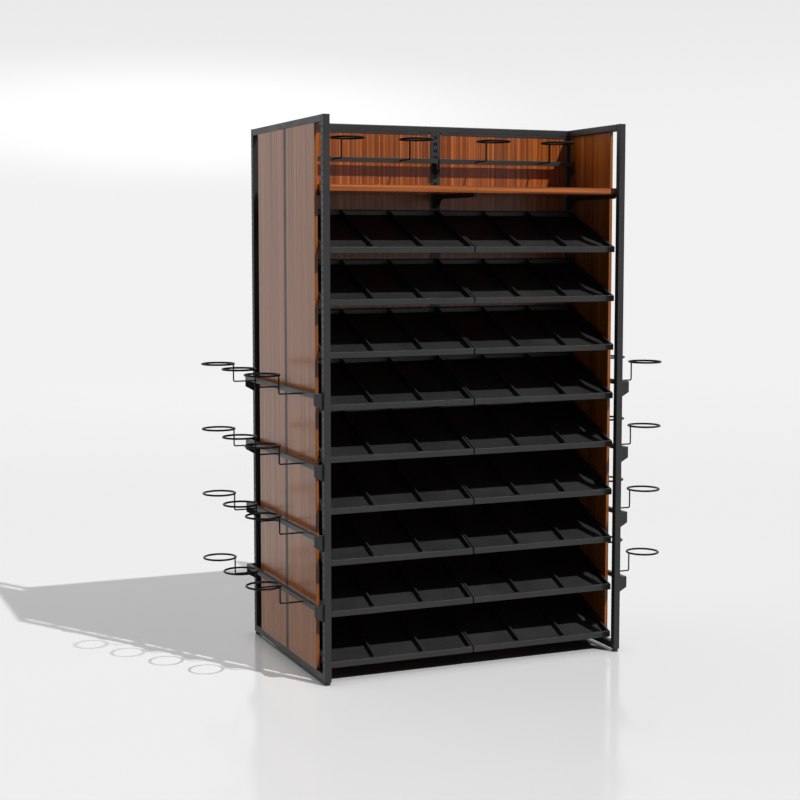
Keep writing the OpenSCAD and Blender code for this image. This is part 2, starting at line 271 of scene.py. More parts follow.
class ShaderBench:
    """Adds nodes to one shader tree and wires them.

    The colour sockets of a Mix node share their names with others, so they go by their places.
    """

    mix_share, mix_first, mix_second, mix_result = 0, 6, 7, 2

    def __init__(self, tree: bpy.types.NodeTree) -> None:
        """Takes the tree to work on."""
        self.tree = tree

    def add(self, kind: str, inputs: Inputs | None = None, **settings: object) -> bpy.types.Node:
        """Adds one node.

        Args:
            kind: the node's type.
            inputs: a value or a socket for each named input.
            settings: the node's own properties.
        Returns:
            The new node.
        """
        node = self.tree.nodes.new(kind)
        for name, value in settings.items():
            setattr(node, name, value)
        for name, value in (inputs or {}).items():
            self.feed(node.inputs[name], value)
        return node

    def feed(self, socket: Socket, value: object) -> None:
        """Links a socket to another one, or sets its value.

        Args:
            socket: the input to feed.
            value: a socket, a number, a vector or a colour.
        """
        if isinstance(value, Socket):
            self.tree.links.new(value, socket)
        elif isinstance(value, tuple) and socket.type == "RGBA":
            socket.default_value = (*value, 1.0)
        else:
            socket.default_value = value

    def sum(self, operation: str, *terms: object) -> Socket:
        """Works out one step of arithmetic.

        Args:
            operation: name of the step, as a Math node has it.
            terms: numbers or sockets.
        Returns:
            The result.
        """
        node = self.add("ShaderNodeMath", operation=operation)
        for socket, term in zip(node.inputs, terms):
            self.feed(socket, term)
        return node.outputs[0]

    def spread(self, value: object, low: float, high: float, to_low: float, to_high: float) -> Socket:
        """Maps a range onto another with soft ends.

        Args:
            value: the number to map.
            low: start of the range.
            high: end of the range.
            to_low: result at the start.
            to_high: result at the end.
        Returns:
            The mapped number.
        """
        node = self.add("ShaderNodeMapRange", interpolation_type="SMOOTHSTEP")
        for socket, term in zip(node.inputs, (value, low, high, to_low, to_high)):
            self.feed(socket, term)
        return node.outputs["Result"]

    def blend(self, share: object, first: object, second: object) -> Socket:
        """Mixes two colours.

        Args:
            share: 0 for the first colour and 1 for the second.
            first: a colour or a socket.
            second: a colour or a socket.
        Returns:
            The mixed colour.
        """
        node = self.add("ShaderNodeMix", data_type="RGBA", clamp_factor=True)
        self.feed(node.inputs[self.mix_share], share)
        self.feed(node.inputs[self.mix_first], first)
        self.feed(node.inputs[self.mix_second], second)
        return node.outputs[self.mix_result]

    def noise(self, vector: object, scale: object, detail: float, rough: float = 0.5) -> Socket:
        """Adds a noise pattern.

        Args:
            vector: where to read it.
            scale: repeats per metre.
            detail: number of finer layers.
            rough: weight of the finer layers.
        Returns:
            The pattern, from 0 to 1.
        """
        inputs = {"Vector": vector, "Scale": scale, "Detail": detail, "Roughness": rough}
        return self.add("ShaderNodeTexNoise", inputs).outputs[0]

    def dot(self, first: object, second: object) -> Socket:
        """Multiplies two vectors into a number.

        Args:
            first: a vector or a socket.
            second: a vector or a socket.
        Returns:
            The product.
        """
        node = self.add("ShaderNodeVectorMath", operation="DOT_PRODUCT")
        self.feed(node.inputs[0], first)
        self.feed(node.inputs[1], second)
        return node.outputs["Value"]

    def place(self, stretch: Triple = (1.0, 1.0, 1.0), shift: Triple = (0.0, 0.0, 0.0)) -> Socket:
        """Reads Object coordinates.

        Args:
            stretch: scale of the pattern along X, Y and Z.
            shift: shift of it along X, Y and Z.
        Returns:
            The coordinates.
        """
        here = self.add("ShaderNodeTexCoord").outputs["Object"]
        mapping = {"Vector": here, "Scale": stretch, "Location": shift}
        return self.add("ShaderNodeMapping", mapping).outputs[0]


class Effect:
    """A shader node group that several finishes share."""

    name = ""
    takes: dict[str, str] = {}
    gives: dict[str, str] = {}

    def __init__(self) -> None:
        """Builds the group once."""
        self.tree = bpy.data.node_groups.new(self.name, "ShaderNodeTree")
        for label, kind in self.takes.items():
            self.tree.interface.new_socket(name=label, in_out="INPUT", socket_type="NodeSocket" + kind)
        for label, kind in self.gives.items():
            self.tree.interface.new_socket(name=label, in_out="OUTPUT", socket_type="NodeSocket" + kind)
        bench = ShaderBench(self.tree)
        entry = bench.add("NodeGroupInput").outputs
        leave = bench.add("NodeGroupOutput").inputs
        for label, result in self.wire(bench, entry).items():
            bench.feed(leave[label], result)

    def wire(self, bench: ShaderBench, entry: bpy.types.NodeOutputs) -> Sockets:
        """Builds the inside of the group; each effect has its own."""
        raise NotImplementedError

    def use(self, bench: ShaderBench, inputs: Inputs) -> bpy.types.NodeOutputs:
        """Places the group in a material.

        Args:
            bench: the material's bench.
            inputs: values and sockets for the group.
        Returns:
            The group's outputs.
        """
        return bench.add("ShaderNodeGroup", inputs, node_tree=self.tree).outputs


class WoodFigure(Effect):
    """Straight-grained veneer: broad bands, fine streaks, pores, and a few pale and dark lines."""

    name = "wood_figure"
    takes = {"Vector": "Vector", "Dark": "Color", "Middle": "Color", "Light": "Color"}
    gives = {"Color": "Color", "Height": "Float", "Sheen": "Float"}
    band_scale, streak_scale, pore_scale, line_scale = 15.0, 140.0, 460.0, 61.0
    layers, line_layers = 2.0, 1.0
    streak_rough, pore_rough = 0.6, 0.7
    band_share, streak_share, pore_share = 0.12, 0.60, 0.28
    dark_to_middle: Pair = (0.37, 0.50)
    middle_to_light: Pair = (0.50, 0.62)
    pale_lines: Pair = (0.66, 0.74)
    pale_share = 0.75
    dark_lines: Pair = (0.33, 0.26)
    dark_share = 0.6
    sheen_span: Pair = (0.3, 0.7)

    def wire(self, bench: ShaderBench, entry: bpy.types.NodeOutputs) -> Sockets:
        """Adds up three noises of falling size, then lays thin lines over them.

        Args:
            bench: the group's bench.
            entry: the group's inputs.
        Returns:
            A socket for each output.
        """
        where = entry["Vector"]
        bands = bench.noise(where, self.band_scale, self.layers)
        streaks = bench.noise(where, self.streak_scale, self.layers, self.streak_rough)
        pores = bench.noise(where, self.pore_scale, self.layers, self.pore_rough)
        tone = bench.sum("MULTIPLY", streaks, self.streak_share)
        tone = bench.sum("MULTIPLY_ADD", bands, self.band_share, tone)
        tone = bench.sum("MULTIPLY_ADD", pores, self.pore_share, tone)
        to_middle = bench.spread(tone, *self.dark_to_middle, 0.0, 1.0)
        to_light = bench.spread(tone, *self.middle_to_light, 0.0, 1.0)
        body = bench.blend(to_middle, entry["Dark"], entry["Middle"])
        body = bench.blend(to_light, body, entry["Light"])
        lines = bench.noise(where, self.line_scale, self.line_layers)
        pale = bench.spread(lines, *self.pale_lines, 0.0, self.pale_share)
        deep = bench.spread(lines, *self.dark_lines, 0.0, self.dark_share)
        lined = bench.blend(deep, bench.blend(pale, body, entry["Light"]), entry["Dark"])
        sheen = bench.spread(streaks, *self.sheen_span, 0.0, 1.0)
        return {"Color": lined, "Height": pores, "Sheen": sheen}


class PowderTexture(Effect):
    """Fine pebbled skin of powder coat, and a slow drift of its tone."""

    name = "powder_texture"
    takes = {"Vector": "Vector", "Pebble": "Float"}
    gives = {"Height": "Float", "Tone": "Float"}
    pebble_layers, pebble_rough = 2.0, 0.55
    drift_scale, drift_layers, drift_rough = 5.0, 3.0, 0.6
    drift_span: Pair = (0.3, 0.7)

    def wire(self, bench: ShaderBench, entry: bpy.types.NodeOutputs) -> Sockets:
        """Reads a fine noise for the pebbles and a broad one for the drift.

        Args:
            bench: the group's bench.
            entry: the group's inputs.
        Returns:
            A socket for each output.
        """
        pebbles = bench.noise(entry["Vector"], entry["Pebble"], self.pebble_layers, self.pebble_rough)
        drift = bench.noise(entry["Vector"], self.drift_scale, self.drift_layers, self.drift_rough)
        return {"Height": pebbles, "Tone": bench.spread(drift, *self.drift_span, 0.0, 1.0)}


class EasedEdge(Effect):
    """Rounded normal and a mask along sharp edges."""

    name = "eased_edge"
    takes = {"Radius": "Float"}
    gives = {"Mask": "Float", "Normal": "Vector"}
    match_span: Pair = (0.99, 0.86)
    samples = 4

    def wire(self, bench: ShaderBench, entry: bpy.types.NodeOutputs) -> Sockets:
        """Compares a rounded normal with the face's own: they part only beside an edge.

        Args:
            bench: the group's bench.
            entry: the group's inputs.
        Returns:
            A socket for each output.
        """
        bevel = bench.add("ShaderNodeBevel", {"Radius": entry["Radius"]}, samples=self.samples)
        eased = bevel.outputs[0]
        own = bench.add("ShaderNodeNewGeometry").outputs["True Normal"]
        mask = bench.spread(bench.dot(eased, own), *self.match_span, 0.0, 1.0)
        return {"Mask": mask, "Normal": eased}


class SettledDust(Effect):
    """Thin dust on faces that look up."""

    name = "settled_dust"
    takes = {"Vector": "Vector"}
    gives = {"Mask": "Float"}
    patch_scale, patch_layers, patch_rough = 38.0, 5.0, 0.65
    patch_span: Pair = (0.35, 0.75)
    thinnest = 0.3
    level_span: Pair = (0.5, 0.95)

    def wire(self, bench: ShaderBench, entry: bpy.types.NodeOutputs) -> Sockets:
        """Weighs a patchy noise by how far the face looks up.

        Args:
            bench: the group's bench.
            entry: the group's inputs.
        Returns:
            A socket for each output.
        """
        own = bench.add("ShaderNodeNewGeometry").outputs["True Normal"]
        up = bench.add("ShaderNodeSeparateXYZ", {"Vector": own}).outputs["Z"]
        patches = bench.noise(entry["Vector"], self.patch_scale, self.patch_layers, self.patch_rough)
        patches = bench.spread(patches, *self.patch_span, self.thinnest, 1.0)
        return {"Mask": bench.sum("MULTIPLY", bench.spread(up, *self.level_span, 0.0, 1.0), patches)}


class WireZone(Effect):
    """Part of a rack that lies further out than its bar."""

    name = "wire_zone"
    takes = {"Vector": "Vector", "Out": "Vector", "Reach": "Float"}
    gives = {"Mask": "Float"}
    blur = 0.0002

    def wire(self, bench: ShaderBench, entry: bpy.types.NodeOutputs) -> Sockets:
        """Compares the distance along the way out, to either side, with the reach.

        Args:
            bench: the group's bench.
            entry: the group's inputs.
        Returns:
            A socket for each output.
        """
        along = bench.sum("ABSOLUTE", bench.dot(entry["Vector"], entry["Out"]))
        past = bench.sum("SUBTRACT", along, entry["Reach"])
        return {"Mask": bench.spread(past, -self.blur, self.blur, 0.0, 1.0)}


@dataclass
class Effects:
    """The shared effects, each built once."""

    figure: WoodFigure
    powder: PowderTexture
    edge: EasedEdge
    dust: SettledDust
    wires: WireZone

    @classmethod
    def build(cls) -> "Effects":
        """Builds the five groups."""
        return cls(WoodFigure(), PowderTexture(), EasedEdge(), SettledDust(), WireZone())


def new_material(name: str) -> tuple[Material, ShaderBench]:
    """Starts an empty node material.

    Args:
        name: name of the material.
    Returns:
        The material and a bench on its tree.
    """
    material = bpy.data.materials.new(name)
    material.use_nodes = True
    material.node_tree.nodes.clear()
    return material, ShaderBench(material.node_tree)


def close_material(bench: ShaderBench, shader: bpy.types.Node) -> None:
    """Wires a shader to the material's output."""
    bench.add("ShaderNodeOutputMaterial", {"Surface": shader.outputs[0]})


@dataclass(frozen=True)
class Finish:
    """A finish of one name. Each kind works out what feeds its shader."""

    name: str

    def inputs(self, bench: ShaderBench, effects: Effects) -> Inputs:
        """Works out the shader's inputs; each kind has its own."""
        raise NotImplementedError

    def material(self, effects: Effects) -> Material:
        """Builds the finish.

        Args:
            effects: the shared effects.
        Returns:
            The material.
        """
        material, bench = new_material(self.name)
        shader = bench.add("ShaderNodeBsdfPrincipled", self.inputs(bench, effects))
        close_material(bench, shader)
        return material


@dataclass(frozen=True)
class PowderCoat(Finish):
    """Black powder coat on steel."""

    colour: Colour
    drift: Colour
    # Lighter tone along sharp edges: worn coat, and partly a painted edge highlight.
    worn: Colour
    dust: Colour
    roughness: float
    specular: float
    pebble: float = 900.0
    pebble_depth: float = 0.00004
    edge: float = 0.0012
    wear_share: float = 0.5
    dust_share: float = 0.5
    smoother: float = 0.04
    rougher: float = 0.05

    def inputs(self, bench: ShaderBench, effects: Effects) -> Inputs:
        """Lays worn edges, lightened partly as a painted highlight, and dust over a pebbled skin.

        Args:
            bench: the material's bench.
            effects: the shared effects.
        Returns:
            A value or a socket for each input.
        """
        where = bench.place()
        skin = effects.powder.use(bench, {"Vector": where, "Pebble": self.pebble})
        edge = effects.edge.use(bench, {"Radius": self.edge})
        dust = effects.dust.use(bench, {"Vector": where})
        colour = bench.blend(skin["Tone"], self.colour, self.drift)
        # Lighter along sharp edges: worn coat, and partly a painted edge highlight.
        colour = bench.blend(bench.sum("MULTIPLY", edge["Mask"], self.wear_share), colour, self.worn)
        colour = bench.blend(bench.sum("MULTIPLY", dust["Mask"], self.dust_share), colour, self.dust)
        bump = {"Height": skin["Height"], "Distance": self.pebble_depth, "Normal": edge["Normal"]}
        least, most = self.roughness - self.smoother, self.roughness + self.rougher
        rough = bench.spread(skin["Tone"], 0.0, 1.0, least, most)
        return {
            "Base Color": colour,
            "Roughness": rough,
            "Specular IOR Level": self.specular,
            "Normal": bench.add("ShaderNodeBump", bump).outputs[0],
        }


@dataclass(frozen=True)
class RackCoat(PowderCoat):
    """Powder coat on a rack's bar and brackets, black oxide on the wires further out."""

    out: Triple = (1.0, 0.0, 0.0)
    wires_from: float = 0.0
    oxide: Colour = (0.008, 0.0081, 0.0084)

    def inputs(self, bench: ShaderBench, effects: Effects) -> Inputs:
        """Lays black oxide over the coat where the wires are.

        Args:
            bench: the material's bench.
            effects: the shared effects.
        Returns:
            A value or a socket for each input.
        """
        coat = super().inputs(bench, effects)
        zone = {"Vector": bench.place(), "Out": self.out, "Reach": self.wires_from}
        black = effects.wires.use(bench, zone)["Mask"]
        colour = bench.blend(black, coat["Base Color"], self.oxide)
        return {**coat, "Base Color": colour, "Metallic": black}


@dataclass(frozen=True)
class WoodVeneer(Finish):
    """Lacquered straight-grained veneer."""

    grain: Grain
    dark: Colour
    middle: Colour
    light: Colour
    roughness: float
    specular: float
    shift: Triple = (0.0, 0.0, 0.0)
    pore_depth: float = 0.00006
    edge: float = 0.0008
    # Share of the pale edge: worn lacquer, and partly a painted edge highlight.
    edge_share: float = 0.35
    dust: Colour = (0.6, 0.55, 0.5)
    dust_share: float = 0.04
    smoother: float = 0.04
    rougher: float = 0.05

    def inputs(self, bench: ShaderBench, effects: Effects) -> Inputs:
        """Lays pale edges, worn and partly a painted highlight, and dust over the figure.

        Args:
            bench: the material's bench.
            effects: the shared effects.
        Returns:
            A value or a socket for each input.
        """
        figure = effects.figure.use(bench, {
            "Vector": bench.place(self.grain.value, self.shift),
            "Dark": self.dark,
            "Middle": self.middle,
            "Light": self.light,
        })
        edge = effects.edge.use(bench, {"Radius": self.edge})
        dust = effects.dust.use(bench, {"Vector": bench.place()})
        # Paler along sharp edges: worn lacquer, and partly a painted edge highlight.
        worn = bench.sum("MULTIPLY", edge["Mask"], self.edge_share)
        colour = bench.blend(worn, figure["Color"], self.light)
        colour = bench.blend(bench.sum("MULTIPLY", dust["Mask"], self.dust_share), colour, self.dust)
        bump = {"Height": figure["Height"], "Distance": self.pore_depth, "Normal": edge["Normal"]}
        least, most = self.roughness - self.smoother, self.roughness + self.rougher
        rough = bench.spread(figure["Sheen"], 0.0, 1.0, most, least)
        return {
            "Base Color": colour,
            "Roughness": rough,
            "Specular IOR Level": self.specular,
            "Normal": bench.add("ShaderNodeBump", bump).outputs[0],
        }


@dataclass(frozen=True)
class TurnedFoot(Finish):
    """Black moulded pad below, zinc-plated thread above."""

    plastic: Colour
    zinc: Colour
    seam: float
    blur: float = 0.0001
    pebble: float = 1500.0
    pebble_depth: float = 0.00003
    scuff: float = 1.5
    roughness: Pair = (0.40, 0.52)

    def inputs(self, bench: ShaderBench, effects: Effects) -> Inputs:
        """Parts scuffed plastic from zinc at the seam's height.

        Args:
            bench: the material's bench.
            effects: the shared effects.
        Returns:
            A value or a socket for each input.
        """
        where = bench.place()
        height = bench.add("ShaderNodeSeparateXYZ", {"Vector": where}).outputs["Z"]
        plated = bench.spread(height, self.seam - self.blur, self.seam + self.blur, 0.0, 1.0)
        skin = effects.powder.use(bench, {"Vector": where, "Pebble": self.pebble})
        paler = tuple(self.scuff * part for part in self.plastic)
        scuffed = bench.blend(skin["Tone"], self.plastic, paler)
        bump = {"Height": skin["Height"], "Distance": self.pebble_depth}
        return {
            "Base Color": bench.blend(plated, scuffed, self.zinc),
            "Metallic": plated,
            "Roughness": bench.spread(skin["Tone"], 0.0, 1.0, *self.roughness),
            "Normal": bench.add("ShaderNodeBump", bump).outputs[0],
        }


@dataclass
class Finishes:
    """All finishes of the stand."""

    frame_steel: Material
    tray_steel: Material
    side_rack: Material
    top_rack: Material
    side_wood: Material
    spine_wood: Material
    # Lighter copy of the veneer: painted light for the shelf's front-lit edge.
    shelf_wood: Material
    plug: Material
    foot: Material

    @classmethod
    def build(cls, effects: Effects, foot_seam: float, side_wires: float, top_wires: float) -> "Finishes":
        """Builds every finish.

        Args:
            effects: the shared effects.
            foot_seam: height at which a foot's pad gives way to its thread.
            side_wires: distance along X at which the wires of the side racks begin.
            top_wires: distance along Y at which the wires of the top racks begin.
        Returns:
            The finishes.
        """
        steel = {
            "colour": (0.010, 0.0102, 0.0106),
            "drift": (0.012, 0.0122, 0.0127),
            # Lighter edge tone: worn coat, and partly a painted edge highlight.
            "worn": (0.024, 0.024, 0.025),
            "dust": (0.018, 0.018, 0.0185),
            "roughness": 0.45,
            "specular": 0.47,
        }
        satin = {
            "dark": (0.088, 0.019, 0.0037),
            "middle": (0.245, 0.057, 0.0088),
            "light": (0.470, 0.135, 0.025),
            "roughness": 0.23,
            "specular": 0.40,
        }
        side = {
            **satin,
            "dark": (0.120, 0.033, 0.0046),
            "middle": (0.250, 0.071, 0.0086),
            "light": (0.410, 0.134, 0.021),
        }
        # The shelf takes a lighter copy of the veneer: painted light for its front-lit edge.
        shelf = {**satin, "middle": (0.310, 0.075, 0.0115), "light": (0.510, 0.150, 0.028)}
        plug = {**steel, "roughness": 0.55, "pebble": 1500.0}
        moulded, zinc = (0.014, 0.014, 0.0145), (0.56, 0.57, 0.59)
        return cls(
            PowderCoat("frame_steel", **steel).material(effects),
            PowderCoat("tray_steel", **steel).material(effects),
            RackCoat("side_rack", **steel, out=(1.0, 0.0, 0.0), wires_from=side_wires).material(effects),
            RackCoat("top_rack", **steel, out=(0.0, 1.0, 0.0), wires_from=top_wires).material(effects),
            WoodVeneer("side_wood", Grain.UPRIGHT, **side).material(effects),
            WoodVeneer("spine_wood", Grain.UPRIGHT, **satin, shift=(0.37, 0.0, 0.2)).material(effects),
            WoodVeneer("shelf_wood", Grain.LENGTHWAYS, **shelf).material(effects),
            PowderCoat("plug_plastic", **plug).material(effects),
            TurnedFoot("turned_foot", moulded, zinc, foot_seam).material(effects),
        )


@dataclass
class SideFrame:
    """One welded side frame with its two boards."""

    side: Side
    weld_leg: float = 0.003

    def build(self, finishes: Finishes) -> None:
        """Lays a bead where each rail meets a corner post.

        Args:
            finishes: the stand's finishes.
        """
        label = self.side.label
        low, high = corners(f"{label}_front_post")
        rear_low = corners(f"{label}_rear_post")[0]
        under = corners(f"{label}_top_rail")[0][2]
        above = corners(f"{label}_bottom_rail")[1][2]
        beads = []
        for y, into in ((high[1], 1.0), (rear_low[1], -1.0)):
            for z, rise in ((under, -1.0), (above, 1.0)):
                start = np.array([low[0] + self.weld_leg, y, z])
                end = np.array([high[0] - self.weld_leg, y, z])
                walls = np.array([[0.0, into, 0.0], [0.0, 0.0, rise]])
                beads.append(fillet_bead(start, end, *walls, self.weld_leg))
        piece = make_piece(f"{label}_frame_welds", beads)
        place_piece(piece, "frame", finishes.frame_steel)

    def dress(self, finishes: Finishes) -> None:
        """Coats the tubes and veneers the boards.

        Args:
            finishes: the stand's finishes.
        """
        label = self.side.label
        for part in ("front_post", "mid_post", "rear_post", "top_rail", "bottom_rail"):
            dress_node(f"{label}_{part}", finishes.frame_steel)
        for part in ("front_board", "rear_board"):
            dress_node(f"{label}_{part}", finishes.side_wood)


@dataclass
class Spine:
    """The boarded wall between the side frames, with its rails and channels."""

    weld_leg: float = 0.003

    def build(self, finishes: Finishes) -> None:
        """Lays a bead up each side of the rails' ends.

        Args:
            finishes: the stand's finishes.
        """
        beads = []
        for rail in ("spine_top_rail", "spine_bottom_rail"):
            low, high = corners(rail)
            for x, into in ((low[0], 1.0), (high[0], -1.0)):
                for y, out in ((low[1], -1.0), (high[1], 1.0)):
                    start = np.array([x, y, low[2] + self.weld_leg])
                    end = np.array([x, y, high[2] - self.weld_leg])
                    walls = np.array([[into, 0.0, 0.0], [0.0, out, 0.0]])
                    beads.append(fillet_bead(start, end, *walls, self.weld_leg))
        piece = make_piece("spine_welds", beads)
        place_piece(piece, "frame", finishes.frame_steel)

    def dress(self, finishes: Finishes) -> None:
        """Coats the steel and veneers the boards.

        Args:
            finishes: the stand's finishes.
        """
        for node in ("centre_post", "spine_top_rail", "spine_bottom_rail", "panel_channels"):
            dress_node(node, finishes.frame_steel)
        for side in Side:
            dress_node(f"{side.label}_spine_board", finishes.spine_wood)


@dataclass
class Shelves:
    """The two rows of shelf boards and their brackets."""

    def dress(self, finishes: Finishes) -> None:
        """Coats the brackets and veneers the boards.

        Args:
            finishes: the stand's finishes.
        """
        dress_node("shelf_brackets", finishes.frame_steel)
        for face in Face:
            dress_node(f"shelf_boards_{face.label}", finishes.shelf_wood)


@dataclass
class TrayStack:
    """The tray rows of one face."""

    face: Face
    rows: int = 9

    def dress(self, finishes: Finishes) -> None:
        """Coats the trays."""
        for row in range(1, self.rows + 1):
            dress_node(f"{self.face.label}_tray_row_{row}", finishes.tray_steel)


@dataclass
class RingRack:
    """One hooked rack: a bar between two brackets, with rings on bent wires."""

    node: str
    out: Triple
    rings: tuple[float, ...]
    plate: float = 0.0035
    bar_height: float = 0.017
    bar_depth: float = 0.016
    bar_out: float = 0.034
    stem_wire: float = 0.0055
    ring_wire: float = 0.0075
    ring_radius: float = 0.061
    ring_out: float = 0.181
    ring_rise: float = 0.0695
    wire_weld: float = 0.0016
    ring_weld_share: float = 0.6
    ring_sink: float = 0.42
    bar_weld: float = 0.0025

    def root(self) -> float:
        """Finds the posts' face, which the rack hangs on.

        Returns:
            Its distance along the way out.
        """
        low, high = corners(self.node)
        out = np.array(self.out)
        tip = max(low @ out, high @ out)
        return float(tip - self.ring_out - self.ring_radius - self.ring_wire / 2)

    def wires_from(self) -> float:
        """Distance along the way out at which the wires leave the bar and its welds."""
        return self.root() + self.bar_out + self.wire_weld

    def coat(self, finishes: Finishes) -> Material:
        """Picks the finish for the rack's way out."""
        return finishes.side_rack if self.out[0] else finishes.top_rack

    def build(self, finishes: Finishes) -> None:
        """Lays the beads of the bar's ends and of each wire.

        Args:
            finishes: the stand's finishes.
        """
        out, up = np.array(self.out), np.array([0.0, 0.0, 1.0])
        along = np.cross(up, out)
        low, high = corners(self.node)
        middle, half = (low + high) / 2, (high - low) / 2
        ring_z = high[2] - self.ring_wire / 2
        base = out * self.root() + along * (middle @ along) + up * ring_z
        beads = []
        for place in self.rings:
            root = base + along * place - up * self.ring_rise
            beads.append(collar_bead(root + out * self.bar_out, out, self.stem_wire, self.wire_weld))
            head = base + along * place + out * (self.ring_out - self.ring_radius)
            top = head - up * self.ring_wire * self.ring_sink
            beads.append(collar_bead(top, -up, self.stem_wire, self.wire_weld * self.ring_weld_share))
        bar_mid = base - up * self.ring_rise
        inner = half @ np.abs(along) - self.plate
        for end in (-1.0, 1.0):
            wall = bar_mid + along * end * inner
            under = wall - up * self.bar_height / 2
            front, back = out * (self.bar_out - self.bar_weld), out * (self.bar_out - self.bar_depth)
            inward = -end * along
            beads.append(fillet_bead(under + back, under + front, inward, -up, self.bar_weld))
            rise = up * (self.bar_height / 2 - self.bar_weld)
            behind = wall + back
            beads.append(fillet_bead(behind - rise, behind + rise, inward, -out, self.bar_weld))
        piece = make_piece(f"{self.node}_welds", beads)
        place_piece(piece, self.node, self.coat(finishes))

    def dress(self, finishes: Finishes) -> None:
        """Coats the rack."""
        dress_node(self.node, self.coat(finishes))

    @classmethod
    def all_racks(cls, depth: float, levels: int = 4) -> "list[RingRack]":
        """Lists the racks of both sides and both faces.

        Args:
            depth: depth of the stand, of which the rings stand a third apart.
            levels: racks one above the other on each side.
        Returns:
            The racks.
        """
        step = depth / 3
        side_rings, top_rings = (-step, 0.0, step), (-step / 2, step / 2)
        side_racks = [
            cls(f"{side.label}_ring_rack_{level}", (float(side.value), 0.0, 0.0), side_rings)
            for side in Side
            for level in range(1, levels + 1)
        ]
        top_racks = [
            cls(f"top_rack_{face.label}_{side.label}", (0.0, float(face.value), 0.0), top_rings)
            for face in Face
            for side in Side
        ]
        return side_racks + top_racks


@dataclass
class LevellingFoot:
    """Foot with a chamfered pad, a six-sided neck and a threaded stem."""

    face: Face
    side: Side
    pad: float = 0.023
    pad_height: float = 0.008
    sole_round: float = 0.0006
    chamfer: float = 0.0015
    chamfer_drop: float = 0.0004
    chamfer_lip: float = 0.0002
    top_round: float = 0.0006
    neck: float = 0.014
    neck_top: float = 0.0107
    neck_flats: int = 6
    stem: float = 0.008
    pitch: float = 0.00125
    thread_depth: float = 0.0006
    turn_points: int = 36
    rows_per_pitch: int = 8

    def build(self, finishes: Finishes) -> None:
        """Turns the foot.

        At turn p and station k of the profile the surface lies at radius r(k) about the foot's axis. On
        the neck r is divided by the cosine of the angle to the nearest flat's middle, which gives six
        flats, and on the stem a ridge winds up once for each pitch and runs out at the top.

        Args:
            finishes: the stand's finishes.
        """
        node = f"foot_{self.face.label}_{self.side.label}"
        low, high = corners(node)
        axis = (low + high) / 2
        turn = np.linspace(0, 2 * np.pi, self.turn_points, endpoint=False)
        pad, neck, stem = self.pad / 2, self.neck / 2, self.stem / 2
        hair = 1e-9
        heights = np.arange(self.neck_top, high[2] - hair, self.pitch / self.rows_per_pitch)
        pad_rows = [
            [0.0, pad - self.sole_round],
            [self.sole_round, pad],
            [self.pad_height - self.chamfer, pad],
            [self.pad_height - self.chamfer_drop, pad - self.chamfer + self.chamfer_lip],
            [self.pad_height, pad - self.chamfer - self.top_round],
        ]
        neck_rows = [[self.pad_height, neck], [self.neck_top, neck]]
        lower = np.array([*pad_rows, *neck_rows, [self.neck_top, stem]])
        z = np.concatenate([lower[:, 0], heights])
        radius = np.concatenate([lower[:, 1], np.full(len(heights), stem)])[:, None] * np.ones_like(turn)
        half = np.pi / self.neck_flats
        aside = np.mod(turn, 2 * half) - half
        radius[len(pad_rows):len(pad_rows) + len(neck_rows)] *= np.cos(half) / np.cos(aside)
        wind = np.mod(heights[:, None] / self.pitch - turn / (2 * np.pi), 1.0)
        runout = np.clip((high[2] - heights) / self.pitch, 0.0, 1.0)[:, None]
        radius[len(lower):] -= self.thread_depth * np.maximum(np.abs(2 * wind - 1), 1 - runout)
        ring = np.stack([np.cos(turn), np.sin(turn)], axis=-1)
        points = np.empty((*radius.shape, 3))
        points[..., :2] = axis[:2] + radius[..., None] * ring
        points[..., 2] = low[2] + z[:, None]
        piece = make_piece(f"{node}_turned", [grid_surface(points, False)], smooth=False)
        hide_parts(node)
        place_piece(piece, node, finishes.foot)


